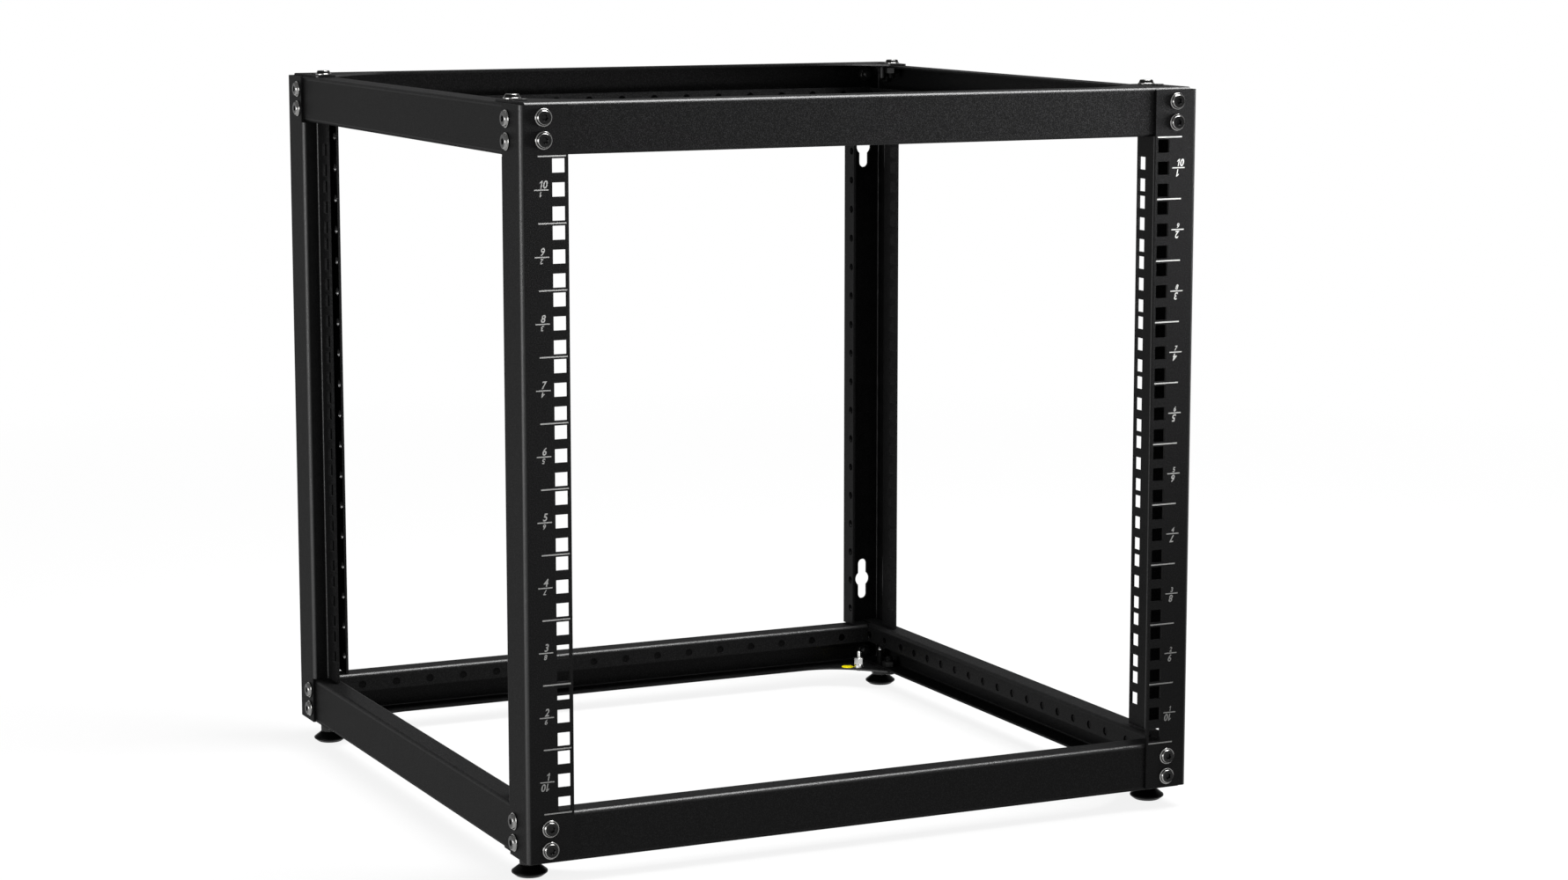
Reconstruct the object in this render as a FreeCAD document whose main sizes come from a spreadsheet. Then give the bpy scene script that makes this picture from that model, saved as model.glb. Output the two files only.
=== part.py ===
import FreeCAD
import Part
import Sketcher
import os

# A ten-unit open-frame equipment rack: four folded posts, eight channel rails and four levelling feet.
# The rack stands on Z = 0, faces -Y, and its middle is at X = Y = 0. All sizes are in millimetres.

SIZES = [
    ("rack_width", 520.0, "over the outer side faces of the posts"),
    ("rack_depth", 502.5, "front face of the front posts to rear face of the rear posts"),
    ("unit_height", 44.45, "one rack unit"),
    ("unit_count", 10, "rack units between the rails"),
    ("hole_inset", 27.44, "outer side face to the column of square holes"),
    ("hole_square", 9.5, "side of a square hole"),
    ("hole_low", 6.35, "unit line to the first hole of a unit"),
    ("hole_step", 15.875, "between the holes of a unit"),
    ("post_sheet", 2.0, "sheet thickness of the posts"),
    ("post_bend", 1.0, "inside bend radius of the posts"),
    ("post_face", 34.2, "width of the front or rear flange"),
    ("post_side", 36.0, "depth of the outer side face"),
    ("post_jog", 12.0, "step from the outer side face in to the side flange"),
    ("post_reach", 58.8, "front or rear face to the free edge of the side flange"),
    ("post_end_in", 1.65, "post end inside the outer face of the cross rails"),
    ("flange_gap", 0.7, "side flange end clear of the side rail"),
    ("side_hole_margin", 6.8, "free edge of the side flange to the middle of its holes"),
    ("post_lip", 19.6, "depth of the lip of a rear post"),
    ("post_lip_gap", 0.5, "end of the rear post lip clear of the cross rail"),
    ("post_lip_margin", 4.4, "free edge of the rear post lip to its row of holes"),
    ("post_lip_low", 14.3, "unit line to the first lip hole"),
    ("post_lip_count", 18, "holes in the lip of a rear post"),
    ("lip_hole", 6.2, "diameter of the round holes in the lips"),
    ("key_inset", 16.1, "outer side face to the middle of a keyhole"),
    ("key_height", 36.2, "unit line to the middle of a keyhole"),
    ("key_eye", 13.0, "diameter of the eye of a keyhole"),
    ("key_slot", 8.0, "width of the slot of a keyhole"),
    ("key_half", 17.2, "half the length of a keyhole"),
    ("bolt_hole", 6.6, "clearance hole of the frame bolts"),
    ("bolt_inset", 16.8, "outer side face to the front or rear bolts"),
    ("bolt_setback", 24.5, "front or rear face to the side bolts"),
    ("bolt_gap", 15.0, "between the two bolts of a rail end"),
    ("rail_sheet", 1.5, "sheet thickness of the rails"),
    ("rail_bend", 1.5, "inside bend radius of the rails"),
    ("rail_height", 35.0, "height of a rail"),
    ("rail_end_gap", 1.0, "rail end clear of the rail beside it"),
    ("rail_lip_gap", 0.2, "lip end clear of the lip beside it"),
    ("cross_drop", 0.4, "unit line to the inner flange of a cross rail"),
    ("cross_depth", 19.5, "depth of a cross rail"),
    ("cross_lip", 14.7, "height of the lip of a cross rail"),
    ("cross_lip_margin", 5.5, "free edge of a cross rail lip to its row of holes"),
    ("cross_row_inset", 45.0, "outer side face to the first lip hole of a cross rail"),
    ("cross_hole_count", 16, "lip holes of a cross rail"),
    ("tab_reach", 58.5, "front or rear face to the end of a corner tab"),
    ("tab_root", 56.0, "outer side face to the root of a corner tab"),
    ("tab_tip", 20.4, "outer side face to the tip of a corner tab"),
    ("tab_blend", 60.0, "blend radius between tab and rail edge"),
    ("tab_corner", 3.0, "corner radius of a tab"),
    ("side_depth", 18.2, "depth of a side rail"),
    ("side_lip", 15.8, "height of the lip of a side rail"),
    ("side_lip_margin", 5.5, "free edge of a side rail lip to its row of holes"),
    ("side_row_inset", 82.55, "front or rear face to the first regular lip hole of a side rail"),
    ("side_hole_count", 15, "regular lip holes of a side rail"),
    ("side_end_inset", 52.35, "front or rear face to the end hole of a side rail lip"),
    ("corner_margin", 6.7, "open edge of a side rail to a corner bolt"),
    ("corner_setback", 48.5, "front or rear face to a corner bolt"),
    ("foot_margin", 6.5, "open edge of a side rail to a foot"),
    ("foot_setback", 32.0, "front or rear face to a foot"),
    ("pad_wide", 25.1, "largest diameter of a foot pad"),
    ("pad_base", 18.6, "diameter of the flat underside of a foot pad"),
    ("pad_neck", 14.4, "diameter of the top of a foot pad"),
    ("pad_foot", 2.5, "floor to the widest band of a foot pad"),
    ("pad_band", 1.1, "height of the widest band of a foot pad"),
    ("pad_round", 0.9, "rounding of the widest band and of the underside"),
    ("pad_tall", 7.8, "height of a foot pad"),
    ("stud_wide", 6.0, "diameter of a foot stud"),
    ("stud_seat", 2.5, "floor to the lower end of a foot stud"),
    ("stud_out", 14.4, "length of a foot stud above the rail flanges"),
    ("stud_chamfer", 0.8, "chamfer at the tip of a stud"),
    ("nut_flats", 13.8, "lock nut, across flats"),
    ("nut_tall", 6.8, "height of a lock nut"),
    ("nut_turn", 42.0, "angle of a lock nut about its stud, in degrees"),
    ("earth_inset", 35.2, "outer side face to the earth stud"),
    ("earth_back", 24.5, "end of the corner tab to the earth stud"),
    ("earth_wide", 4.0, "diameter of the earth stud"),
    ("earth_hole", 4.4, "hole for the earth stud"),
    ("earth_rise", 14.3, "length of the earth stud above the corner tab"),
    ("earth_head", 8.0, "diameter of the earth stud head"),
    ("earth_head_tall", 1.6, "height of the earth stud head"),
    ("earth_washer", 9.0, "diameter of the plain washer"),
    ("earth_washer_tall", 1.0, "thickness of the plain washer"),
    ("earth_spring", 7.6, "diameter of the spring washer"),
    ("earth_spring_tall", 1.4, "thickness of the spring washer"),
    ("earth_nut", 7.0, "earth nut, across flats"),
    ("earth_nut_tall", 6.2, "height of the earth nut"),
    ("cut_over", 5.0, "how far a cut runs past the sheet it cuts"),
]

doc = FreeCAD.newDocument("OpenFrameRack")
sheet = doc.addObject("Spreadsheet::Sheet", "Sizes")
for row, (alias, value, note) in enumerate(SIZES, 1):
    sheet.set("A%d" % row, str(value))
    sheet.setAlias("A%d" % row, alias)
    sheet.set("B%d" % row, note)
doc.recompute()


class Length:
    """A size: its number now, and the sheet expression that keeps it up to date."""

    def __init__(self, value, text):
        self.value = float(value)
        self.text = text

    def __add__(self, other):
        return mix(self, "+", other, self.value + number(other))

    def __sub__(self, other):
        return mix(self, "-", other, self.value - number(other))

    def __mul__(self, other):
        return mix(self, "*", other, self.value * number(other))

    def __truediv__(self, other):
        return mix(self, "/", other, self.value / number(other))

    def __neg__(self):
        return Length(-self.value, "(0 - %s)" % self.text)


def number(item):
    return item.value if isinstance(item, Length) else float(item)


def words(item):
    return item.text if isinstance(item, Length) else repr(item)


def mix(left, sign, right, value):
    return Length(value, "(%s %s %s)" % (words(left), sign, words(right)))


size = {}
for alias, value, note in SIZES:
    size[alias] = Length(value, "Sizes.%s" % alias)
ZERO = Length(0, "0")

half_width = size["rack_width"] / 2
half_depth = size["rack_depth"] / 2
bay = size["unit_height"] * size["unit_count"]
over = size["cut_over"]

# Heights that several pieces share.
under_tab = size["pad_tall"] + size["nut_tall"]
unit_lift = under_tab + size["rail_height"] + size["cross_drop"]
post_overrun = size["cross_drop"] + size["rail_height"] - size["post_end_in"]

# Plan places that several pieces share, counted out from the middle of the rack.
cross_web = half_depth - size["post_sheet"]
cross_edge = cross_web - size["cross_depth"]
side_web = half_width - size["post_sheet"]
side_edge = side_web - size["side_depth"]
corner_x = side_edge + size["corner_margin"]
corner_y = half_depth - size["corner_setback"]
foot_x = side_edge + size["foot_margin"]
foot_y = half_depth - size["foot_setback"]
earth_x = half_width - size["earth_inset"]
earth_y = half_depth - size["tab_reach"] + size["earth_back"]
bolt_x = half_width - size["bolt_inset"]
bolt_y = half_depth - size["bolt_setback"]


# Drawing helpers: sketches on a body's own planes, with every corner held by the sheet.

def new_body(label):
    body = doc.addObject("PartDesign::Body", label)
    body.Label = label
    return body


def plane(body, role):
    for item in body.Origin.OriginFeatures:
        if item.Role == role:
            return item
    raise RuntimeError("no plane " + role)


def new_sketch(body, name, role, lift=None):
    sketch = body.newObject("Sketcher::SketchObject", name)
    sketch.AttachmentSupport = [(plane(body, role), "")]
    sketch.MapMode = "FlatFace"
    if lift is not None:
        sketch.AttachmentOffset = FreeCAD.Placement(FreeCAD.Vector(0, 0, lift.value), FreeCAD.Rotation())
        sketch.setExpression("AttachmentOffset.Base.z", lift.text)
    return sketch


def hold(sketch, axis, index, corner, where):
    """Hold one point of a sketch at a distance from the sketch origin."""
    if where.text == "0":
        line = -2 if axis == "DistanceX" else -1
        sketch.addConstraint(Sketcher.Constraint("PointOnObject", index, corner, line))
        return
    if where.value > 0:
        rule = Sketcher.Constraint(axis, -1, 1, index, corner, where.value)
        text = where.text
    else:
        rule = Sketcher.Constraint(axis, index, corner, -1, 1, -where.value)
        text = "0 - %s" % where.text
    spot = sketch.addConstraint(rule)
    sketch.setExpression("Constraints[%d]" % spot, text)


def draw_loop(sketch, points):
    """Draw a closed outline; level and upright sides are held as such."""
    first = sketch.GeometryCount
    count = len(points)
    for k in range(count):
        a = points[k]
        b = points[(k + 1) % count]
        start = FreeCAD.Vector(a[0].value, a[1].value, 0)
        end = FreeCAD.Vector(b[0].value, b[1].value, 0)
        sketch.addGeometry(Part.LineSegment(start, end), False)
    for k in range(count):
        after = first + (k + 1) % count
        sketch.addConstraint(Sketcher.Constraint("Coincident", first + k, 2, after, 1))
    upright = [points[k][0].text == points[(k + 1) % count][0].text for k in range(count)]
    level = [points[k][1].text == points[(k + 1) % count][1].text for k in range(count)]
    for k in range(count):
        if upright[k]:
            sketch.addConstraint(Sketcher.Constraint("Vertical", first + k))
        if level[k]:
            sketch.addConstraint(Sketcher.Constraint("Horizontal", first + k))
    for k in range(count):
        tied_x = (k > 0 and upright[k - 1]) or (k == count - 1 and upright[k])
        tied_y = (k > 0 and level[k - 1]) or (k == count - 1 and level[k])
        if not tied_x:
            hold(sketch, "DistanceX", first + k, 1, points[k][0])
        if not tied_y:
            hold(sketch, "DistanceY", first + k, 1, points[k][1])


def draw_box(sketch, x0, y0, x1, y1):
    draw_loop(sketch, [(x0, y0), (x1, y0), (x1, y1), (x0, y1)])


def draw_square(sketch, x, y, side):
    half = side / 2
    draw_box(sketch, x - half, y - half, x + half, y + half)


def draw_circle(sketch, x, y, wide):
    middle = FreeCAD.Vector(x.value, y.value, 0)
    index = sketch.addGeometry(Part.Circle(middle, FreeCAD.Vector(0, 0, 1), wide.value / 2), False)
    hold(sketch, "DistanceX", index, 3, x)
    hold(sketch, "DistanceY", index, 3, y)
    spot = sketch.addConstraint(Sketcher.Constraint("Diameter", index, wide.value))
    sketch.setExpression("Constraints[%d]" % spot, wide.text)


def pad(body, name, sketch, length, both=False):
    feature = body.newObject("PartDesign::Pad", name)
    feature.Profile = sketch
    feature.Length = length.value
    feature.setExpression("Length", length.text)
    if both:
        feature.SideType = "Symmetric"
    sketch.Visibility = False
    doc.recompute()
    return feature


def pocket(body, name, sketch, length=None):
    """Cut a sketch away from its plane into the positive side of the body."""
    feature = body.newObject("PartDesign::Pocket", name)
    feature.Profile = sketch
    normal = sketch.getGlobalPlacement().Rotation.multVec(FreeCAD.Vector(0, 0, 1))
    feature.Reversed = normal.x + normal.y + normal.z > 0
    if length is None:
        feature.Type = "ThroughAll"
    else:
        feature.Type = "Length"
        feature.Length = length.value
        feature.setExpression("Length", length.text)
    sketch.Visibility = False
    doc.recompute()
    return feature


def repeat(body, name, feature, sketch, axis, length, count):
    pattern = body.newObject("PartDesign::LinearPattern", name)
    pattern.Originals = [feature]
    pattern.Direction = (sketch, [axis])
    pattern.Length = length.value
    pattern.setExpression("Length", length.text)
    pattern.Occurrences = int(count.value)
    pattern.setExpression("Occurrences", count.text)
    body.Tip = pattern
    doc.recompute()
    return pattern


def edges_at(shape, axis, spots):
    """Names of the straight edges along an axis through the given points of the other two axes."""
    names = []
    others = [k for k in range(3) if k != axis]
    for index, edge in enumerate(shape.Edges, 1):
        if len(edge.Vertexes) != 2:
            continue
        a = edge.Vertexes[0].Point
        b = edge.Vertexes[1].Point
        if any(abs(a[k] - b[k]) > 1e-6 for k in others):
            continue
        for spot in spots:
            if all(abs(a[k] - number(spot[n])) < 1e-4 for n, k in enumerate(others)):
                names.append("Edge%d" % index)
                break
    return names


def round_edges(body, name, base, axis, spots, radius):
    feature = body.newObject("PartDesign::Fillet", name)
    names = edges_at(base.Shape, axis, spots)
    if len(names) < len(spots):
        raise RuntimeError("edges missing for " + name)
    feature.Base = (base, names)
    feature.Radius = radius.value
    feature.setExpression("Radius", radius.text)
    doc.recompute()
    return feature


def place(body, turn, lift):
    """Turn a body by half a turn about an axis through the middle of the rack and set its height."""
    spin = FreeCAD.Rotation(FreeCAD.Vector(*turn), 180) if turn else FreeCAD.Rotation()
    body.Placement = FreeCAD.Placement(FreeCAD.Vector(0, 0, lift.value), spin)
    body.setExpression("Placement.Base.z", lift.text)


HALF_X = (1, 0, 0)
HALF_Y = (0, 1, 0)
HALF_Z = (0, 0, 1)
nodes = []


# Posts: 2 mm sheet folded into a flange, an outer side face, a step and a side flange.
# A post is drawn at the rear right with its lower end on Z = 0; half turns put it at each corner.

post_long = bay + post_overrun * 2
t = size["post_sheet"]
post_round = size["post_bend"] + t
inner_edge = half_width - size["post_face"]
side_out = half_width - size["post_jog"]
step_in = half_depth - size["post_side"]
first_unit = post_overrun


def build_post(label, lipped):
    body = new_body(label)
    outline = new_sketch(body, label + "_profile", "XY_Plane")
    inside = half_depth - t
    corners = [(half_width, half_depth), (half_width, step_in), (side_out, step_in)]
    corners += [(side_out, half_depth - size["post_reach"])]
    corners += [(side_out - t, half_depth - size["post_reach"])]
    corners += [(side_out - t, step_in + t), (half_width - t, step_in + t), (half_width - t, inside)]
    outer = [corners[0], corners[1], corners[5]]
    inner = [corners[2], corners[6], corners[7]]
    if lipped:
        lip_end = half_depth - size["post_lip"]
        corners += [(inner_edge + t, inside), (inner_edge + t, lip_end)]
        corners += [(inner_edge, lip_end), (inner_edge, half_depth)]
        outer.append(corners[-1])
        inner.append(corners[8])
    else:
        corners += [(inner_edge, inside), (inner_edge, half_depth)]
    draw_loop(outline, corners)
    solid = pad(body, label + "_sheet", outline, post_long)
    solid = round_edges(body, label + "_outer_bends", solid, 2, outer, post_round)
    solid = round_edges(body, label + "_inner_bends", solid, 2, inner, size["post_bend"])

    # The step and the side flange stop short of the rails at both ends.
    low_end = first_unit - size["cross_drop"] + size["rail_sheet"] + size["flange_gap"]
    high_end = post_long - low_end
    ends = new_sketch(body, label + "_end_notches", "XZ_Plane")
    for z0, z1 in ((-over, low_end), (high_end, post_long + over)):
        draw_box(ends, side_out - t - over, z0, half_width + over, z1)
    pocket(body, label + "_end_cut", ends, step_in + post_round)
    if lipped:
        relief = new_sketch(body, label + "_lip_relief", "XZ_Plane")
        low_lip = first_unit - size["cross_drop"] + size["post_lip_gap"]
        for z0, z1 in ((-over, low_lip), (post_long - low_lip, post_long + over)):
            draw_box(relief, inner_edge - over, z0, inner_edge + post_round, z1)
        pocket(body, label + "_lip_cut", relief)

    # Square holes of the side flange: all but the outermost of the unit pattern.
    row = half_depth - size["post_reach"] + size["side_hole_margin"]
    side = new_sketch(body, label + "_side_middle", "YZ_Plane")
    draw_square(side, row, first_unit + size["hole_low"] + size["hole_step"], size["hole_square"])
    cut = pocket(body, label + "_side_middle_hole", side)
    last = size["unit_count"] - 1
    run = size["unit_height"] * last
    repeat(body, label + "_side_middle_row", cut, side, "V_Axis", run, size["unit_count"])
    pair = new_sketch(body, label + "_side_pair", "YZ_Plane")
    next_line = first_unit + size["unit_height"]
    draw_square(pair, row, next_line - size["hole_low"], size["hole_square"])
    draw_square(pair, row, next_line + size["hole_low"], size["hole_square"])
    cut = pocket(body, label + "_side_pair_holes", pair)
    repeat(body, label + "_side_pair_row", cut, pair, "V_Axis", run - size["unit_height"], last)

    # Clearance holes for the bolts into the cross rail and the side rail.
    cross_mid = first_unit - size["cross_drop"] - size["rail_height"] / 2
    side_mid = cross_mid + size["rail_sheet"]
    face_bolts = new_sketch(body, label + "_face_bolts", "XZ_Plane")
    flank_bolts = new_sketch(body, label + "_flank_bolts", "YZ_Plane")
    for middle in (cross_mid, post_long - cross_mid):
        for up in (size["bolt_gap"] / 2, -size["bolt_gap"] / 2):
            draw_circle(face_bolts, bolt_x, middle + up, size["bolt_hole"])
    for middle in (side_mid, post_long - side_mid):
        for up in (size["bolt_gap"] / 2, -size["bolt_gap"] / 2):
            draw_circle(flank_bolts, bolt_y, middle + up, size["bolt_hole"])
    pocket(body, label + "_face_bolt_holes", face_bolts)
    pocket(body, label + "_flank_bolt_holes", flank_bolts)

    if lipped:
        lip = new_sketch(body, label + "_lip_hole", "YZ_Plane")
        start = first_unit + size["post_lip_low"]
        lip_row = half_depth - size["post_lip"] + size["post_lip_margin"]
        draw_circle(lip, lip_row, start, size["lip_hole"])
        cut = pocket(body, label + "_lip_first", lip, inner_edge + t + over)
        span = bay - size["post_lip_low"] * 2
        repeat(body, label + "_lip_row", cut, lip, "V_Axis", span, size["post_lip_count"])
        key_x = half_width - size["key_inset"]
        key_plane = over - inside
        slot = new_sketch(body, label + "_key_slots", "XZ_Plane", key_plane)
        eyes = new_sketch(body, label + "_key_eyes", "XZ_Plane", key_plane)
        straight = size["key_half"] - size["key_slot"] / 2
        low_key = first_unit + size["key_height"]
        for middle in (low_key, post_long - low_key):
            half_slot = size["key_slot"] / 2
            draw_box(slot, key_x - half_slot, middle - straight, key_x + half_slot, middle + straight)
            draw_circle(eyes, key_x, middle, size["key_eye"])
            draw_circle(eyes, key_x, middle - straight, size["key_slot"])
            draw_circle(eyes, key_x, middle + straight, size["key_slot"])
        pocket(body, label + "_key_slot_cut", slot)
        pocket(body, label + "_key_eye_cut", eyes)
    else:
        unit = new_sketch(body, label + "_unit_holes", "XZ_Plane")
        for step in range(3):
            height = first_unit + size["hole_low"] + size["hole_step"] * step
            draw_square(unit, half_width - size["hole_inset"], height, size["hole_square"])
        cut = pocket(body, label + "_unit_cut", unit)
        repeat(body, label + "_unit_row", cut, unit, "V_Axis", run, size["unit_count"])
    nodes.append(body)
    return body


stand = unit_lift - post_overrun
stand_over = unit_lift + bay + post_overrun
place(build_post("front_left_post", False), HALF_Z, stand)
place(build_post("front_right_post", False), HALF_X, stand_over)
place(build_post("rear_left_post", True), HALF_Y, stand_over)
place(build_post("rear_right_post", True), None, stand)


# Rails: channels with a holed lip on the inner flange, Z = 0 on the inner flange.
# Cross rails end in blended corner tabs on the outer flange; side rails nest one sheet inside them.

s = size["rail_sheet"]
tall = size["rail_height"]
bend = size["rail_bend"] + s


def channel(web, depth, lip):
    """Corners of a lipped channel, the outer ones and the inner ones of its bends."""
    open_edge = web - depth
    corners = [(web, ZERO), (web, tall), (open_edge, tall), (open_edge, tall - s)]
    corners += [(web - s, tall - s), (web - s, s), (open_edge + s, s)]
    corners += [(open_edge + s, lip), (open_edge, lip), (open_edge, ZERO)]
    return corners, [corners[0], corners[1], corners[9]], [corners[4], corners[5], corners[6]]


def build_cross_rail(label, earthed):
    body = new_body(label)
    edge = cross_edge
    end = side_web - s - size["rail_end_gap"]
    corners, outer, inner = channel(cross_web, size["cross_depth"], size["cross_lip"])
    profile = new_sketch(body, label + "_profile", "YZ_Plane")
    draw_loop(profile, corners)
    solid = pad(body, label + "_channel", profile, end * 2, True)
    solid = round_edges(body, label + "_outer_bends", solid, 0, outer, bend)
    solid = round_edges(body, label + "_inner_bends", solid, 0, inner, size["rail_bend"])

    # Corner tabs, one at each end, blended into the edge of the outer flange.
    root = half_width - size["tab_root"]
    tip = half_width - size["tab_tip"]
    reach = half_depth - size["tab_reach"]
    tabs = new_sketch(body, label + "_tabs", "XY_Plane", tall - s)
    back = edge + over
    draw_loop(tabs, [(root, back), (end, back), (end, reach), (tip, reach), (root, edge)])
    draw_loop(tabs, [(-root, back), (-end, back), (-end, reach), (-tip, reach), (-root, edge)])
    solid = pad(body, label + "_corner_tabs", tabs, s)
    blend = [(root, edge), (-root, edge)]
    solid = round_edges(body, label + "_tab_blend", solid, 2, blend, size["tab_blend"])
    points = [(end, reach), (-end, reach), (tip, reach), (-tip, reach)]
    solid = round_edges(body, label + "_tab_corners", solid, 2, points, size["tab_corner"])

    # The lip stops where the side rails come in.
    stop = side_edge - size["rail_lip_gap"]
    relief = new_sketch(body, label + "_lip_relief", "XY_Plane")
    draw_box(relief, stop, edge - over, end + over, edge + bend)
    draw_box(relief, -stop, edge - over, -end - over, edge + bend)
    pocket(body, label + "_lip_cut", relief, size["cross_lip"] + over)

    lip = new_sketch(body, label + "_lip_hole", "XZ_Plane")
    outermost = half_width - size["cross_row_inset"]
    draw_circle(lip, -outermost, size["cross_lip"] - size["cross_lip_margin"], size["lip_hole"])
    cut = pocket(body, label + "_lip_first", lip, edge + s + over)
    repeat(body, label + "_lip_row", cut, lip, "H_Axis", outermost * 2, size["cross_hole_count"])

    bolts = new_sketch(body, label + "_bolts", "XZ_Plane")
    for x in (bolt_x, -bolt_x):
        for up in (size["bolt_gap"] / 2, -size["bolt_gap"] / 2):
            draw_circle(bolts, x, tall / 2 + up, size["bolt_hole"])
    pocket(body, label + "_bolt_holes", bolts)
    corner = new_sketch(body, label + "_corner_holes", "XY_Plane")
    for side in (1, -1):
        draw_circle(corner, corner_x * side, corner_y, size["bolt_hole"])
        draw_circle(corner, foot_x * side, foot_y, size["bolt_hole"])
    if earthed:
        draw_circle(corner, -earth_x, earth_y, size["earth_hole"])
    pocket(body, label + "_corner_cut", corner)
    nodes.append(body)
    return body


def build_side_rail(label):
    body = new_body(label)
    edge = side_edge
    end = cross_web - s - size["rail_bend"] - size["rail_end_gap"]
    corners, outer, inner = channel(side_web, size["side_depth"], size["side_lip"])
    profile = new_sketch(body, label + "_profile", "XZ_Plane")
    draw_loop(profile, corners)
    solid = pad(body, label + "_channel", profile, end * 2, True)
    solid = round_edges(body, label + "_outer_bends", solid, 1, outer, bend)
    solid = round_edges(body, label + "_inner_bends", solid, 1, inner, size["rail_bend"])

    # The lip stops at the lip of the cross rail.
    stop = cross_edge - size["rail_lip_gap"]
    relief = new_sketch(body, label + "_lip_relief", "XY_Plane")
    draw_box(relief, edge - over, stop, edge + bend, end + over)
    draw_box(relief, edge - over, -stop, edge + bend, -end - over)
    pocket(body, label + "_lip_cut", relief, size["side_lip"] + over)

    lip = new_sketch(body, label + "_lip_hole", "YZ_Plane")
    row = size["side_lip"] - size["side_lip_margin"]
    outermost = half_depth - size["side_row_inset"]
    draw_circle(lip, -outermost, row, size["lip_hole"])
    cut = pocket(body, label + "_lip_first", lip, edge + s + over)
    repeat(body, label + "_lip_row", cut, lip, "H_Axis", outermost * 2, size["side_hole_count"])
    last = new_sketch(body, label + "_lip_end_holes", "YZ_Plane")
    end_hole = half_depth - size["side_end_inset"]
    for y in (end_hole, -end_hole):
        draw_circle(last, y, row, size["lip_hole"])
    pocket(body, label + "_lip_ends", last, edge + s + over)

    bolts = new_sketch(body, label + "_bolts", "YZ_Plane")
    for y in (bolt_y, -bolt_y):
        for up in (size["bolt_gap"] / 2, -size["bolt_gap"] / 2):
            draw_circle(bolts, y, tall / 2 + up, size["bolt_hole"])
    pocket(body, label + "_bolt_holes", bolts)
    corner = new_sketch(body, label + "_corner_holes", "XY_Plane", tall - s - over)
    for side in (1, -1):
        draw_circle(corner, corner_x, corner_y * side, size["bolt_hole"])
        draw_circle(corner, foot_x, foot_y * side, size["bolt_hole"])
    pocket(body, label + "_corner_cut", corner)
    nodes.append(body)
    return body


cross_top = unit_lift + bay + size["cross_drop"]
cross_low = unit_lift - size["cross_drop"]
place(build_cross_rail("top_front_rail", False), HALF_Z, cross_top)
place(build_cross_rail("top_rear_rail", False), None, cross_top)
place(build_cross_rail("bottom_front_rail", False), HALF_X, cross_low)
place(build_cross_rail("bottom_rear_rail", True), HALF_Y, cross_low)
place(build_side_rail("top_left_rail"), HALF_Z, cross_top - s)
place(build_side_rail("top_right_rail"), None, cross_top - s)
place(build_side_rail("bottom_left_rail"), HALF_Y, cross_low + s)
place(build_side_rail("bottom_right_rail"), HALF_X, cross_low + s)


# Turned and hexagonal pieces stand on their own axis and are then moved to their place.

def spin_solid(body, name, points):
    sketch = new_sketch(body, name + "_profile", "XZ_Plane")
    draw_loop(sketch, points)
    feature = body.newObject("PartDesign::Revolution", name + "_turned")
    feature.Profile = sketch
    feature.ReferenceAxis = (sketch, ["V_Axis"])
    feature.Angle = 360
    sketch.Visibility = False
    doc.recompute()
    return feature


ROOT_THREE = 3 ** 0.5


def hexagon(body, name, flats, height, bore):
    """A plain hexagonal nut with a round bore."""
    sketch = new_sketch(body, name + "_outline", "XY_Plane")
    half = flats / 2
    point = flats / ROOT_THREE
    wing = point / 2
    lower = [(-half, -wing), (ZERO, -point), (half, -wing)]
    draw_loop(sketch, lower + [(half, wing), (ZERO, point), (-half, wing)])
    draw_circle(sketch, ZERO, ZERO, bore)
    return pad(body, name + "_prism", sketch, height)


def move(body, x, y, z):
    body.Placement = FreeCAD.Placement(FreeCAD.Vector(x.value, y.value, z.value), FreeCAD.Rotation())
    body.setExpression("Placement.Base.x", x.text)
    body.setExpression("Placement.Base.y", y.text)
    body.setExpression("Placement.Base.z", z.text)
    nodes.append(body)


# Levelling feet: a moulded pad on a threaded stud, locked by a nut under the corner tab.

CORNERS = [("front_left", -foot_x, -foot_y), ("front_right", foot_x, -foot_y)]
CORNERS += [("rear_left", -foot_x, foot_y), ("rear_right", foot_x, foot_y)]

for corner_name, x, y in CORNERS:
    pad_body = new_body(corner_name + "_foot_pad")
    bore = size["stud_wide"] / 2
    rim = size["pad_wide"] / 2
    profile = [(ZERO, ZERO), (size["pad_base"] / 2, ZERO), (rim, size["pad_foot"])]
    profile += [(rim, size["pad_foot"] + size["pad_band"])]
    profile += [(size["pad_neck"] / 2, size["pad_tall"]), (bore, size["pad_tall"])]
    profile += [(bore, size["stud_seat"]), (ZERO, size["stud_seat"])]
    turned = spin_solid(pad_body, corner_name + "_foot_pad", profile)
    rings = []
    for index, edge in enumerate(turned.Shape.Edges, 1):
        radius = edge.Curve.Radius if hasattr(edge.Curve, "Radius") else 0
        if abs(radius - rim.value) < 1e-4 or abs(radius - size["pad_base"].value / 2) < 1e-4:
            rings.append("Edge%d" % index)
    soft = pad_body.newObject("PartDesign::Fillet", corner_name + "_foot_pad_round")
    soft.Base = (turned, rings)
    soft.Radius = size["pad_round"].value
    soft.setExpression("Radius", size["pad_round"].text)
    doc.recompute()
    move(pad_body, x, y, ZERO)

for corner_name, x, y in CORNERS:
    stud = new_body(corner_name + "_foot_stud")
    wide = size["stud_wide"] / 2
    long = under_tab + s * 2 + size["stud_out"] - size["stud_seat"]
    cham = size["stud_chamfer"]
    profile = [(ZERO, ZERO), (wide, ZERO), (wide, long - cham), (wide - cham, long), (ZERO, long)]
    spin_solid(stud, corner_name + "_foot_stud", profile)
    move(stud, x, y, size["stud_seat"])

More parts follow.
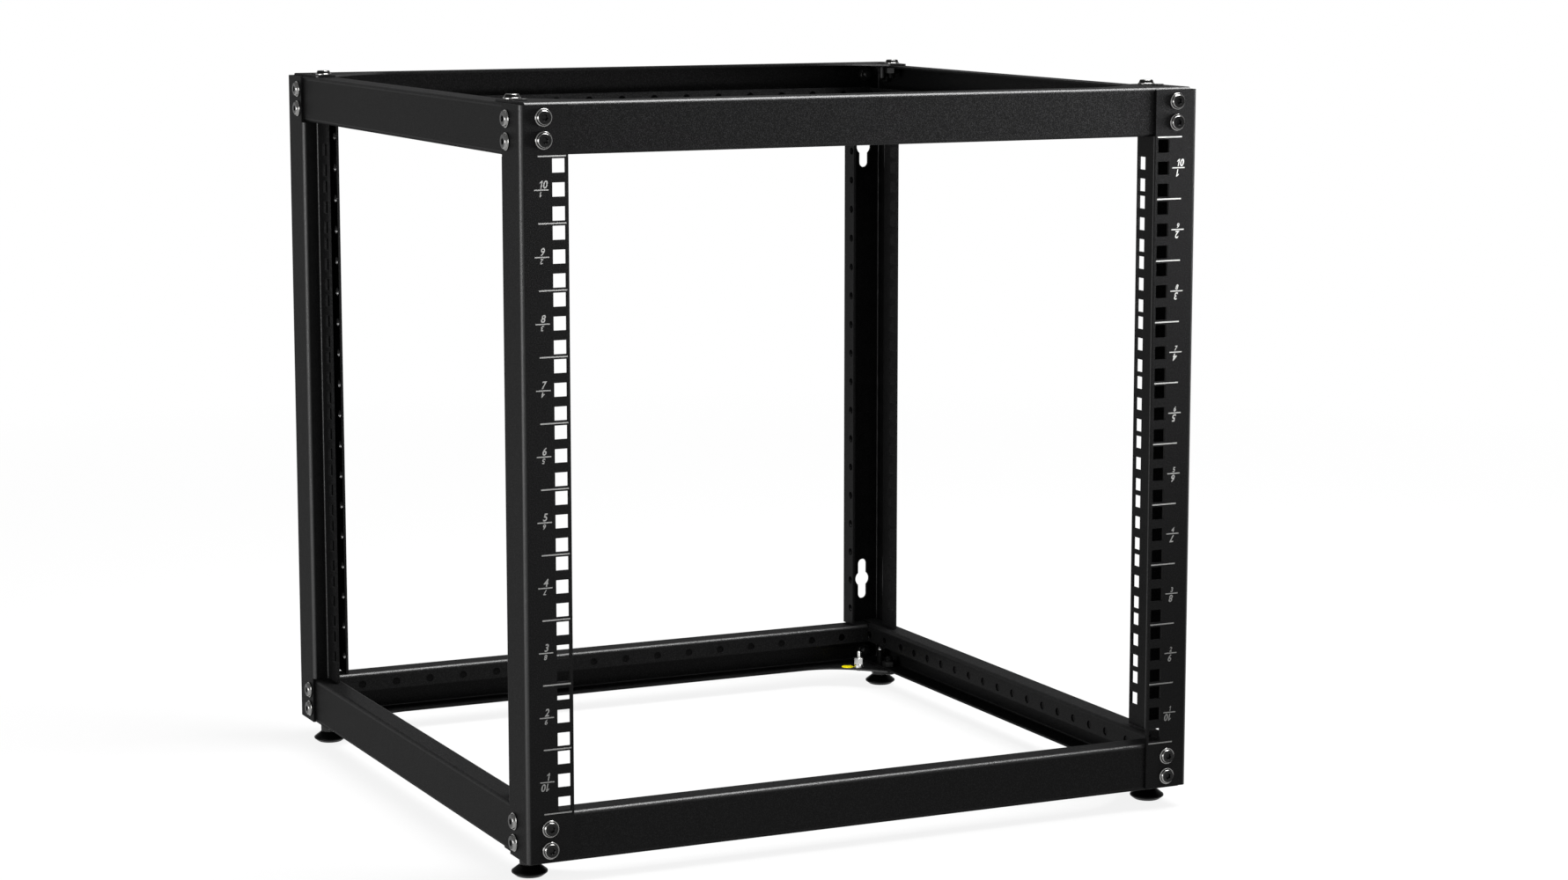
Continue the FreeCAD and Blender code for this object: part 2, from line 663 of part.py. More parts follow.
for corner_name, x, y in CORNERS:
    nut = new_body(corner_name + "_lock_nut")
    hexagon(nut, corner_name + "_lock_nut", size["nut_flats"], size["nut_tall"], size["stud_wide"])
    move(nut, x, y, under_tab - size["nut_tall"])
    nut.Placement.Rotation = FreeCAD.Rotation(FreeCAD.Vector(0, 0, 1), size["nut_turn"].value)
    nut.setExpression("Placement.Rotation.Angle", size["nut_turn"].text)


# Earth stud on the rear right corner tab: headed stud, plain washer, spring washer and nut.

over_tab = under_tab + s
shank = size["earth_wide"] / 2

earth = new_body("earth_stud")
top_z = size["earth_head_tall"] + s + size["earth_rise"]
profile = [(ZERO, ZERO), (size["earth_head"] / 2, ZERO), (size["earth_head"] / 2, size["earth_head_tall"])]
profile += [(shank, size["earth_head_tall"]), (shank, top_z - size["stud_chamfer"])]
profile += [(shank - size["stud_chamfer"], top_z), (ZERO, top_z)]
spin_solid(earth, "earth_stud", profile)
move(earth, earth_x, earth_y, under_tab - size["earth_head_tall"])

level = over_tab
for label, wide, height in (
    ("earth_washer", size["earth_washer"], size["earth_washer_tall"]),
    ("earth_spring_washer", size["earth_spring"], size["earth_spring_tall"]),
):
    ring = new_body(label)
    sketch = new_sketch(ring, label + "_ring", "XY_Plane")
    draw_circle(sketch, ZERO, ZERO, wide)
    draw_circle(sketch, ZERO, ZERO, size["earth_wide"])
    pad(ring, label + "_disc", sketch, height)
    move(ring, earth_x, earth_y, level)
    level = level + height

earth_nut = new_body("earth_nut")
hexagon(earth_nut, "earth_nut", size["earth_nut"], size["earth_nut_tall"], size["earth_wide"])
move(earth_nut, earth_x, earth_y, level)


# Every feature must be sound before anything is written.

doc.recompute()
for item in doc.Objects:
    bad = [state for state in item.State if state in ("Invalid", "Error")]
    if bad:
        raise RuntimeError("%s is %s" % (item.Name, bad))
os.makedirs("parts", exist_ok=True)
for node in nodes:
    if node.Shape.isNull() or not node.Shape.isValid() or len(node.Shape.Solids) != 1:
        raise RuntimeError("unsound piece " + node.Label)
    node.Shape.exportStep("parts/%s.step" % node.Label)
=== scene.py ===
import bpy
import bmesh
import math
from mathutils import Matrix, Vector


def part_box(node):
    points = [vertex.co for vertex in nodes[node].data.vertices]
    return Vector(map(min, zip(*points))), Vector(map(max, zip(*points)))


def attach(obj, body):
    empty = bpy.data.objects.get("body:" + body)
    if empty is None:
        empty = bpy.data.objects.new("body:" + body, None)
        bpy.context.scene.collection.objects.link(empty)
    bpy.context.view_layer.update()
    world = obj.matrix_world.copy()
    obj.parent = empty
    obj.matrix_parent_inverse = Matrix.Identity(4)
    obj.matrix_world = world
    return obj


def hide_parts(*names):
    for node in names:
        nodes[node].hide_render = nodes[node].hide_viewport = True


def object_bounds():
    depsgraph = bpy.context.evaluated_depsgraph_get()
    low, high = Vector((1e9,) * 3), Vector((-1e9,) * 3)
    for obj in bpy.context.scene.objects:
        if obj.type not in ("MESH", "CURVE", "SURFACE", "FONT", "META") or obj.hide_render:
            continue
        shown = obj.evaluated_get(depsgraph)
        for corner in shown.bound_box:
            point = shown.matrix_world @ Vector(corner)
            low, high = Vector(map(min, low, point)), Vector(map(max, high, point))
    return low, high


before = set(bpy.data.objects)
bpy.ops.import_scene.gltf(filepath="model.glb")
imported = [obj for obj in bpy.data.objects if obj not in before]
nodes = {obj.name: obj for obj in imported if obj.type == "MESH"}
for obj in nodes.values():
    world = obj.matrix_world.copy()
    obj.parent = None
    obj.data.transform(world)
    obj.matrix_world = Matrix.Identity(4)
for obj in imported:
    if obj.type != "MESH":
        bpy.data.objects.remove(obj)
cad_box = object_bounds()


# Posts and rails: folded sheet steel, cut and bent before coating, so the black polyester powder
# runs unbroken round every bend, hole and cut edge. It cures to a fine sandy texture.

MM = 0.001
COAT_DARK = (0.0046, 0.0046, 0.0047, 1)
COAT_LIGHT = (0.0145, 0.0145, 0.0148, 1)
FLAT_GLOSS, BEND_GLOSS = 0.15, 1.0
COAT_ROUGH = 0.36
GRAIN_SIZE = 0.75 * MM
FLOW_SIZE = 6.0 * MM
GRAIN_DEPTH = 0.16 * MM
SPECK_FROM, SPECK_FULL = 0.46, 0.68
FLOW_SHARE = 0.6
BEND_FULL = 0.07
UNDERSIDE = -0.35
SIDE_BEND_FROM, SIDE_BEND_FULL, SIDE_BEND_LOSS = 0.05, 0.30, 0.85


class Term:
    """A value in a node tree; arithmetic on it adds the math nodes."""

    def __init__(self, tree, socket):
        self.tree = tree
        self.socket = socket

    def math(self, operation, *others):
        node = self.tree.nodes.new("ShaderNodeMath")
        node.operation = operation
        for slot, item in zip(node.inputs, (self,) + others):
            feed(self.tree, slot, item)
        return Term(self.tree, node.outputs[0])

    def __add__(self, other):
        return self.math("ADD", other)

    def __sub__(self, other):
        return self.math("SUBTRACT", other)

    def __mul__(self, other):
        return self.math("MULTIPLY", other)

    def __truediv__(self, other):
        return self.math("DIVIDE", other)

    def __neg__(self):
        return self.math("MULTIPLY", -1.0)


def feed(tree, slot, item):
    if isinstance(item, Term):
        tree.links.new(item.socket, slot)
    elif isinstance(item, bpy.types.NodeSocket):
        tree.links.new(item, slot)
    else:
        slot.default_value = item


def add(tree, kind, feeds=None, **settings):
    """Add a node, set its properties and feed its inputs, which are named or counted."""
    node = tree.nodes.new(kind)
    for name, value in settings.items():
        setattr(node, name, value)
    for slot, item in (feeds or {}).items():
        feed(tree, node.inputs[slot], item)
    return node


def span(tree, value, low, high):
    """Stretch a value so that low becomes 0 and high becomes 1."""
    return Term(tree, add(tree, "ShaderNodeMapRange", {0: value, 1: low, 2: high}).outputs[0])


def new_group(name, kind, inputs, outputs):
    tree = bpy.data.node_groups.new(name, kind)
    for label, sort in inputs:
        tree.interface.new_socket(label, in_out="INPUT", socket_type="NodeSocket" + sort)
    for label, sort in outputs:
        tree.interface.new_socket(label, in_out="OUTPUT", socket_type="NodeSocket" + sort)
    return tree, tree.nodes.new("NodeGroupInput"), tree.nodes.new("NodeGroupOutput")


def one_over(tree, socket):
    return add(tree, "ShaderNodeMath", {0: 1.0, 1: socket}, operation="DIVIDE").outputs[0]


def powder_grain_group():
    """Sandy grain on a slow flow: a speck mask and the height of the surface."""
    inputs = [("Grain size", "Float"), ("Flow size", "Float")]
    outputs = [("Speck", "Float"), ("Height", "Float")]
    tree, source, target = new_group("Powder grain", "ShaderNodeTree", inputs, outputs)
    place = add(tree, "ShaderNodeTexCoord").outputs["Object"]
    fine_scale = one_over(tree, source.outputs["Grain size"])
    slow_scale = one_over(tree, source.outputs["Flow size"])
    fine = {"Vector": place, "Scale": fine_scale, "Detail": 2.0, "Roughness": 0.55}
    slow = {"Vector": place, "Scale": slow_scale, "Detail": 1.0}
    grain = add(tree, "ShaderNodeTexNoise", fine).outputs[0]
    flow = add(tree, "ShaderNodeTexNoise", slow).outputs[0]
    feed(tree, target.inputs["Speck"], span(tree, grain, SPECK_FROM, SPECK_FULL))
    feed(tree, target.inputs["Height"], Term(tree, grain) + Term(tree, flow) * FLOW_SHARE)
    return tree


def new_material(name, rough, metal, gloss):
    material = bpy.data.materials.new(name)
    material.use_nodes = True
    shader = material.node_tree.nodes["Principled BSDF"]
    shader.inputs["Roughness"].default_value = rough
    shader.inputs["Metallic"].default_value = metal
    shader.inputs["Specular IOR Level"].default_value = gloss
    return material, material.node_tree, shader


def grained(material_name, dark, light, rough, metal, gloss, grain, flow, depth):
    """A finish whose colour and surface follow the grain group."""
    material, tree, shader = new_material(material_name, rough, metal, gloss)
    effect = add(tree, "ShaderNodeGroup", node_tree=grain_group)
    effect.inputs["Grain size"].default_value = grain
    effect.inputs["Flow size"].default_value = flow
    tone = add(tree, "ShaderNodeMix", {0: effect.outputs["Speck"]}, data_type="RGBA")
    tone.inputs[6].default_value = dark
    tone.inputs[7].default_value = light
    bump = add(tree, "ShaderNodeBump", {"Height": effect.outputs["Height"]})
    bump.inputs["Distance"].default_value = depth
    feed(tree, shader.inputs["Base Color"], tone.outputs[2])
    feed(tree, shader.inputs["Normal"], bump.outputs[0])
    return material


def rubbed_bend_group():
    """How glossy the coat is, a painted sheen: most on the bends, so that they catch the lamps as
    highlights, but not on undersides or along the tops of the sides.
    """
    inputs = [("Flat", "Float"), ("Bend", "Float")]
    tree, source, target = new_group("Painted sheen on bends", "ShaderNodeTree", inputs, [("Gloss", "Float")])
    normal = add(tree, "ShaderNodeNewGeometry").outputs["Normal"]
    facing = add(tree, "ShaderNodeSeparateXYZ", {0: normal})
    across, along, up = [Term(tree, facing.outputs[k]) for k in range(3)]
    sideways = across.math("ABSOLUTE")
    squareness = sideways.math("MAXIMUM", along.math("ABSOLUTE")).math("MAXIMUM", up.math("ABSOLUTE"))
    bent = span(tree, -squareness + 1.0, 0.0, BEND_FULL)
    upper = span(tree, up, UNDERSIDE, 0.0)
    side_bend = span(tree, sideways * up, SIDE_BEND_FROM, SIDE_BEND_FULL)
    sheen_mask = bent * upper * (side_bend * -SIDE_BEND_LOSS + 1.0)
    flat, bend = Term(tree, source.outputs["Flat"]), Term(tree, source.outputs["Bend"])
    feed(tree, target.inputs["Gloss"], sheen_mask * (bend - flat) + flat)
    return tree


def dress(node_name, material):
    for slot in nodes[node_name].material_slots:
        slot.material = material


grain_group = powder_grain_group()
powder_coat = grained("black_powder_coat", COAT_DARK, COAT_LIGHT, rough=COAT_ROUGH, metal=0.0, gloss=0.0,
                      grain=GRAIN_SIZE, flow=FLOW_SIZE, depth=GRAIN_DEPTH)
coat_tree = powder_coat.node_tree
coat_shader = coat_tree.nodes["Principled BSDF"]
# The coat's gloss, not its colour, is raised on upper bends: a painted sheen.
film = add(coat_tree, "ShaderNodeGroup", node_tree=rubbed_bend_group())
film.inputs["Flat"].default_value = FLAT_GLOSS
film.inputs["Bend"].default_value = BEND_GLOSS
feed(coat_tree, coat_shader.inputs["Coat Weight"], film.outputs["Gloss"])
feed(coat_tree, coat_shader.inputs["Coat Normal"], coat_shader.inputs["Normal"].links[0].from_socket)
coat_shader.inputs["Coat Roughness"].default_value = COAT_ROUGH
CORNERS = ("front_left", "front_right", "rear_left", "rear_right")
for corner in CORNERS:
    dress(corner + "_post", powder_coat)
for level in ("top", "bottom"):
    for side in ("front", "rear", "left", "right"):
        dress(level + "_" + side + "_rail", powder_coat)


# Unit scale: white ink, screen printed on the front posts. A line marks each unit, and a short bar
# carries its number counted from below, with the number counted from above upside down under it.

INK = (0.44, 0.44, 0.43, 1)
INK_WORN = (0.31, 0.31, 0.305, 1)
UNIT = 44.45 * MM
UNITS = 10
UNIT_BASE = 50.0 * MM
INK_THICK = 0.05 * MM
LINE_LONG, LINE_WIDE, LINE_MIDDLE = 20.0 * MM, 0.9 * MM, 237.5 * MM
BAR_LONG, BAR_WIDE, BAR_MIDDLE = 10.3 * MM, 0.75 * MM, 245.1 * MM
LARGE_TALL, SMALL_TALL = 5.3 * MM, 3.6 * MM
NUMBER_GAP = 1.0 * MM
FIGURE_NARROW, FIGURE_LEAN, FIGURE_BOLD, FIGURE_SPACE = 0.88, 0.2, 0.018, 0.18
FIGURE_STEPS = 5
TEN_SHIFT = 1.0 * MM
ONE_OUTLINE = ((0.24, 0), (0.40, 0), (0.40, 1), (0.29, 1), (0.0, 0.76), (0.0, 0.60), (0.24, 0.78))


def new_piece(name, mesh):
    piece = bpy.data.objects.new(name, mesh)
    bpy.context.scene.collection.objects.link(piece)
    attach(piece, "root")


def seat_points(name, places):
    """Points to grow pieces on: where each one sits and which way its axis looks."""
    mesh = bpy.data.meshes.new(name)
    mesh.from_pydata([spot for spot, axis in places], [], [])
    axes = mesh.attributes.new("axis", "FLOAT_VECTOR", "POINT")
    axes.data.foreach_set("vector", [value for spot, axis in places for value in axis])
    return mesh


def grow(name, places, tree, sizes):
    """Run a tree on seat points and keep the result as a plain mesh."""
    piece = bpy.data.objects.new(name, seat_points(name + "_seats", places))
    bpy.context.scene.collection.objects.link(piece)
    modifier = piece.modifiers.new(name, "NODES")
    modifier.node_group = tree
    for item in tree.interface.items_tree:
        if item.in_out == "INPUT" and item.name in sizes:
            modifier[item.identifier] = sizes[item.name]
    shape = piece.evaluated_get(bpy.context.evaluated_depsgraph_get())
    mesh = bpy.data.meshes.new_from_object(shape)
    piece.modifiers.remove(modifier)
    piece.data = mesh
    mesh.name = name
    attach(piece, "root")
    return piece


def geometry_tree(name, sizes):
    """An empty tree with one named input for each size."""
    inputs = [("Geometry", "Geometry")] + [(label, "Float") for label in sizes]
    tree, source, target = new_group(name, "GeometryNodeTree", inputs, [("Geometry", "Geometry")])
    terms = {label: Term(tree, source.outputs[label]) for label in sizes}
    return tree, source, target, terms


def scale_line_tree(material):
    """A printed bar on every unit above each seat point."""
    tree, source, target, t = geometry_tree("Scale lines", ("Long", "Wide", "Thick", "Unit", "Count"))
    step = add(tree, "ShaderNodeCombineXYZ", {"Z": t["Unit"]})
    column = add(tree, "GeometryNodeMeshLine", {"Count": t["Count"], "Offset": step.outputs[0]})
    feeds = {"Points": source.outputs["Geometry"], "Instance": column.outputs[0]}
    columns = add(tree, "GeometryNodeInstanceOnPoints", feeds)
    marks = add(tree, "GeometryNodeRealizeInstances", {0: columns.outputs[0]})
    size = add(tree, "ShaderNodeCombineXYZ", {"X": t["Long"], "Y": t["Thick"], "Z": t["Wide"]})
    bar = add(tree, "GeometryNodeMeshCube", {"Size": size.outputs[0]})
    feeds = {"Points": marks.outputs[0], "Instance": bar.outputs[0]}
    bars = add(tree, "GeometryNodeInstanceOnPoints", feeds)
    whole = add(tree, "GeometryNodeRealizeInstances", {0: bars.outputs[0]})
    inked = add(tree, "GeometryNodeSetMaterial", {"Geometry": whole.outputs[0], "Material": material})
    feed(tree, target.inputs[0], inked.outputs[0])
    return tree


def extent(mesh):
    spots = [v.co for v in mesh.vertices]
    low = Vector(min(spot[k] for spot in spots) for k in range(3))
    return low, Vector(max(spot[k] for spot in spots) for k in range(3))


def figure_mesh(figure):
    """One figure, one unit tall and thick, with its foot at the origin."""
    mesh = bpy.data.meshes.new("figure")
    if figure == "1":
        plate = bmesh.new()
        outline = plate.faces.new([plate.verts.new((x, y, -0.5)) for x, y in ONE_OUTLINE])
        raised = bmesh.ops.extrude_face_region(plate, geom=[outline])["geom"]
        upper = [item for item in raised if isinstance(item, bmesh.types.BMVert)]
        bmesh.ops.translate(plate, vec=(0, 0, 1), verts=upper)
        bmesh.ops.recalc_face_normals(plate, faces=plate.faces)
        plate.to_mesh(mesh)
        plate.free()
    else:
        curve = bpy.data.curves.new("figure", "FONT")
        curve.body = figure
        curve.offset = FIGURE_BOLD
        curve.extrude = 0.5
        curve.resolution_u = FIGURE_STEPS
        holder = bpy.data.objects.new("figure", curve)
        bpy.context.scene.collection.objects.link(holder)
        shape = holder.evaluated_get(bpy.context.evaluated_depsgraph_get())
        mesh = bpy.data.meshes.new_from_object(shape)
        bpy.data.objects.remove(holder)
    low, high = extent(mesh)
    mesh.transform(Matrix.Translation((-low.x, -low.y, 0)))
    size = 1 / (high.y - low.y)
    mesh.transform(Matrix.Diagonal((size, size, 1, 1)))
    return mesh


def number_mesh(text, tall, middle, level, upside_down):
    """One leaning number on the front face, standing on a level or hanging from it."""
    row = bmesh.new()
    edge = 0.0
    for figure in text:
        mesh = figure_mesh(figure)
        wide = extent(mesh)[1].x
        mesh.transform(Matrix.Translation((edge, 0, 0)))
        row.from_mesh(mesh)
        edge += wide + FIGURE_SPACE
        bpy.data.meshes.remove(mesh)
    mesh = bpy.data.meshes.new("number")
    row.to_mesh(mesh)
    row.free()
    half = (edge - FIGURE_SPACE) / 2
    lean = Matrix(((FIGURE_NARROW, FIGURE_LEAN, 0, 0), (0, 1, 0, 0), (0, 0, 1, 0), (0, 0, 0, 1)))
    mesh.transform(lean @ Matrix.Translation((-half, 0, 0)))
    mesh.transform(Matrix.Diagonal((tall, tall, INK_THICK * 2, 1)))
    mesh.transform(Matrix.Rotation(math.radians(90), 4, "X"))
    if upside_down:
        mesh.transform(Matrix.Rotation(math.radians(180), 4, "Y"))
    mesh.transform(Matrix.Translation((middle, front_face, level)))
    return mesh


front_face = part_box("front_left_post")[0].y
bay_middle = UNIT_BASE + UNITS * UNIT / 2
white_ink = grained("white_print", INK_WORN, INK, rough=0.55, metal=0.0, gloss=0.3,
                    grain=GRAIN_SIZE, flow=FLOW_SIZE, depth=0.05 * MM)
line_tree = scale_line_tree(white_ink)
line_seats = [((x, front_face, UNIT_BASE), (0, -1, 0)) for x in (-LINE_MIDDLE, LINE_MIDDLE)]
bar_seats = [((x, front_face, UNIT_BASE + UNIT / 2), (0, -1, 0)) for x in (-BAR_MIDDLE, BAR_MIDDLE)]
print_sizes = {"Thick": INK_THICK * 2, "Unit": UNIT}
line_sizes = {"Long": LINE_LONG, "Wide": LINE_WIDE, "Count": UNITS + 1, **print_sizes}
bar_sizes = {"Long": BAR_LONG, "Wide": BAR_WIDE, "Count": UNITS, **print_sizes}
grow("unit_lines", line_seats, line_tree, line_sizes)
grow("number_bars", bar_seats, line_tree, bar_sizes)
numerals = bmesh.new()
half_turn = Matrix.Rotation(math.radians(180), 4, "Y")
about_middle = (Matrix.Translation((0, 0, bay_middle)) @ half_turn
                @ Matrix.Translation((0, 0, -bay_middle)))
for unit in range(1, UNITS + 1):
    level = UNIT_BASE + (unit - 0.5) * UNIT
    other = UNITS + 1 - unit
    shift_above = TEN_SHIFT if unit == UNITS else 0.0
    shift_below = TEN_SHIFT if other == UNITS else 0.0
    tall_below = LARGE_TALL if other == UNITS else SMALL_TALL
    above = number_mesh(str(unit), LARGE_TALL, shift_above - BAR_MIDDLE, level + NUMBER_GAP, False)
    below = number_mesh(str(other), tall_below, -shift_below - BAR_MIDDLE, level - NUMBER_GAP, True)
    for mesh in (above, below):
        numerals.from_mesh(mesh)
        mesh.transform(about_middle)
        numerals.from_mesh(mesh)
        bpy.data.meshes.remove(mesh)
numeral_print = bpy.data.meshes.new("unit_numbers")
numerals.to_mesh(numeral_print)
numerals.free()
numeral_print.materials.append(white_ink)
new_piece("unit_numbers", numeral_print)


# Frame bolts: nickel-plated M6 flange bolts with a key socket, two at each end of every rail through
# the posts and one through each pair of corner tabs. Black nuts close them inside the channels.
# The bolts' shanks are painted black as shade inside the channels. Their faces, and a band round the
# corner bolts' domes, are painted dark nickel as a reflection of dark surroundings.

NICKEL_DARK, NICKEL_LIGHT = (0.25, 0.248, 0.243, 1), (0.30, 0.298, 0.292, 1)
# Painted dark reflection: colours for the bolt faces and the corner bolts' dome band, darkened to stand
# for dark surroundings mirrored there.
PAINTED_REFLECTION_DARK, PAINTED_REFLECTION_LIGHT = (0.018, 0.018, 0.018, 1), (0.025, 0.025, 0.025, 1)
BLACK_DARK, BLACK_LIGHT = (0.012, 0.012, 0.012, 1), (0.028, 0.028, 0.028, 1)
BOLT = {"Flange": 12.1 * MM, "Face": 8.8 * MM, "Head": 2.9 * MM, "Key": 3.8 * MM, "Key depth": 2.2 * MM,
        "Thread": 5.9 * MM, "Long": 12.0 * MM, "Pitch": 1.0 * MM, "Spin": 0.0, "Spread": math.pi / 3}
BOLT_EDGE = 0.25 * MM
BOLT_TURNS = 9
SHANK_SHARE = 0.9
RIM_SIDE, RIM_TOP = 0.26, 0.34
DOME = ((0.62, 0.36), (0.50, 0.55), (0.32, 0.80), (0.12, 0.95))
KEY_MOUTH = 1.18
KEY_BEVEL = 1.4
CORNER_HEAD = 3.4 * MM
NUT = {"Flats": 10.0 * MM, "Tall": 5.0 * MM, "Bore": 5.6 * MM, "Spin": 0.0, "Spread": math.pi / 3}
NUT_CHAMFER, NUT_FACE = 0.1, 0.95
ROUND, HEXAGON = 0.0, 1.0
SIDES = 48
WELD = 1e-6
THREAD_SIDES = 24
THREAD_ROWS = 8
THREAD_DEPTH, THREAD_CORE = 0.54, 0.6
CREST_END, ROOT_START = 0.12, 0.88
HALF_ROW = 0.5
SHARP_ANGLE = math.radians(28)
TURN_SEED = 7
# A finish starts after one of these rows of the outline. A face counts as half way between its two rows.
ALL_ROWS, RIM_ROW, DOME_ROW, SHOULDER_ROW, FACE_ROW = -1.0, 1.4, 6.4, 8.9, 10.4
FRONT_BOLT_X = 243.2 * MM
SIDE_BOLT_Y = 226.75 * MM
BOLT_GAP = 15.0 * MM
CORNER_X, CORNER_Y = 246.5 * MM, 202.75 * MM
POST_SHEET, RAIL_SHEET = 2.0 * MM, 1.5 * MM


def pick(tree, index, items):
    """The item of a list that an index names."""
    node = add(tree, "GeometryNodeIndexSwitch", data_type="FLOAT")
    while len(node.index_switch_items) < len(items):
        node.index_switch_items.new()
    feed(tree, node.inputs["Index"], index)
    for k, item in enumerate(items):
        feed(tree, node.inputs[k + 1], item)
    return Term(tree, node.outputs[0])


def unit_grid(tree, sides, rows):
    """A sheet of points to be rolled up: the angle round the axis and the share of the way along it."""
    feeds = {"Size X": 1.0, "Size Y": 1.0, "Vertices X": sides + 1, "Vertices Y": rows}
    grid = add(tree, "GeometryNodeMeshGrid", feeds).outputs["Mesh"]
    place = add(tree, "ShaderNodeSeparateXYZ", {0: add(tree, "GeometryNodeInputPosition").outputs[0]})
    angle = (Term(tree, place.outputs["X"]) + 0.5) * (2 * math.pi)
    share = Term(tree, place.outputs["Y"]) + 0.5
    return grid, angle, share


def roll_up(tree, grid, angle, radius, height):
    feeds = {"X": radius * angle.math("COSINE"), "Y": radius * angle.math("SINE"), "Z": height}
    place = add(tree, "ShaderNodeCombineXYZ", feeds).outputs[0]
    moved = add(tree, "GeometryNodeSetPosition", {"Geometry": grid, "Position": place}).outputs[0]
    return add(tree, "GeometryNodeMergeByDistance", {"Geometry": moved, "Distance": WELD}).outputs[0]


def turned(tree, rows):
    """A turned solid from rows of radius, height and outline: a hexagon's radius is to its flats."""
    grid, angle, share = unit_grid(tree, SIDES, len(rows))
    along = share * (len(rows) - 1)
    index = add(tree, "FunctionNodeFloatToInt", {0: along}, rounding_mode="ROUND").outputs[0]
    tagged = {"Geometry": grid, "Name": "row", "Value": index}
    marked = add(tree, "GeometryNodeStoreNamedAttribute", tagged, data_type="FLOAT", domain="POINT")
    lean = (angle + math.pi / 6).math("FLOORED_MODULO", math.pi / 3) - math.pi / 6
    corner = lean.math("COSINE").math("POWER", -1.0)
    radii, heights, outlines = zip(*rows)
    radius = pick(tree, index, radii) * ((corner - 1.0) * pick(tree, index, outlines) + 1.0)
    return roll_up(tree, marked.outputs[0], angle, radius, pick(tree, index, heights))


def threaded(tree, wide, pitch, start, end, turns):
    """A screw thread about the Z axis from one height to another, with chamfered closed ends."""
    last_row = turns * THREAD_ROWS
    grid, angle, share = unit_grid(tree, THREAD_SIDES, last_row + 1)
    height = share * (end - start) + start
    wave = (height / pitch - angle / (2 * math.pi)).math("FLOORED_MODULO", 1.0)
    ridge = (wave * 2.0 - 1.0).math("ABSOLUTE")
    crest = wide / 2 - pitch * THREAD_DEPTH * span(tree, ridge, CREST_END, ROOT_START)
    core = wide / 2 - pitch * THREAD_CORE
    crest = crest.math("MINIMUM", core + (end - height)).math("MINIMUM", core + (height - start))
    row = share * last_row
    closed = row.math("COMPARE", 0.0, HALF_ROW) + row.math("COMPARE", last_row, HALF_ROW)
    return roll_up(tree, grid, angle, crest * (-closed + 1.0), height)


def set_out(tree, source, target, shape, t, finishes):
    """Put a shape on every seat, turned to its axis, and give it its finishes by row."""
    feeds = {"Geometry": shape, "Shade Smooth": True}
    smooth = add(tree, "GeometryNodeSetShadeSmooth", feeds, domain="FACE").outputs[0]
    feeds = {0: add(tree, "GeometryNodeInputMeshEdgeAngle").outputs[0], 1: SHARP_ANGLE}
    sharp = add(tree, "FunctionNodeCompare", feeds, data_type="FLOAT", operation="GREATER_THAN").outputs[0]
    feeds = {"Geometry": smooth, "Selection": sharp, "Shade Smooth": False}
    shape = add(tree, "GeometryNodeSetShadeSmooth", feeds, domain="EDGE").outputs[0]
    axis = add(tree, "GeometryNodeInputNamedAttribute", {"Name": "axis"}, data_type="FLOAT_VECTOR")
    feeds = {"Vector": axis.outputs[0]}
    upright = add(tree, "FunctionNodeAlignRotationToVector", feeds, axis="Z").outputs[0]
    feeds = {"Min": 0.0, "Max": 1.0, "Seed": TURN_SEED}
    chance = add(tree, "FunctionNodeRandomValue", feeds, data_type="FLOAT").outputs[1]
    spin = Term(tree, chance) * t["Spread"] + t["Spin"]
    turn = add(tree, "FunctionNodeAxisAngleToRotation", {"Axis": (0, 0, 1), "Angle": spin}).outputs[0]
    facing = add(tree, "FunctionNodeRotateRotation", {0: upright, 1: turn}, rotation_space="LOCAL")
    feeds = {"Points": source.outputs["Geometry"], "Instance": shape, "Rotation": facing.outputs[0]}
    placed = add(tree, "GeometryNodeInstanceOnPoints", feeds).outputs[0]
    result = add(tree, "GeometryNodeRealizeInstances", {0: placed}).outputs[0]
    row = add(tree, "GeometryNodeInputNamedAttribute", {"Name": "row"}, data_type="FLOAT").outputs[0]
    for material, first_row in finishes:
        chosen = add(tree, "FunctionNodeCompare", {0: row, 1: first_row}, data_type="FLOAT",
                     operation="GREATER_EQUAL").outputs[0]
        feeds = {"Geometry": result, "Selection": chosen, "Material": material}
        result = add(tree, "GeometryNodeSetMaterial", feeds).outputs[0]
    feed(tree, target.inputs[0], result)
    return tree


def joined(tree, *shapes):
    node = add(tree, "GeometryNodeJoinGeometry")
    for shape in shapes:
        tree.links.new(shape, node.inputs[0])
    return node.outputs[0]


def bolt_tree(name, finishes):
    """A flange bolt: a thin rim, a domed head, and a flat face with a key socket."""
    tree, source, target, t = geometry_tree(name, BOLT)
    flange, face, head, key = t["Flange"] / 2, t["Face"] / 2, t["Head"], t["Key"] / 2
    shank, dome = t["Thread"] / 2 * SHANK_SHARE, (t["Flange"] - t["Face"]) / 2
    key_floor = head - t["Key depth"]
    rows = [(shank, -head, ROUND), (shank, 0.0, ROUND)]
    rows += [(flange - BOLT_EDGE, 0.0, ROUND), (flange, BOLT_EDGE, ROUND)]
    rows += [(flange, head * RIM_SIDE, ROUND), (flange - BOLT_EDGE, head * RIM_TOP, ROUND)]
    rows += [(face + dome * out, head * up, ROUND) for out, up in DOME]
    rows += [(face, head, ROUND), (key * KEY_MOUTH, head, ROUND)]
    rows += [(key, head - BOLT_EDGE * KEY_BEVEL, HEXAGON), (key, key_floor, HEXAGON)]
    rows += [(0.0, key_floor - BOLT_EDGE * 2, ROUND)]
    screw = threaded(tree, t["Thread"], t["Pitch"], -t["Long"], -head * SHANK_SHARE, BOLT_TURNS)
    return set_out(tree, source, target, joined(tree, turned(tree, rows), screw), t, finishes)


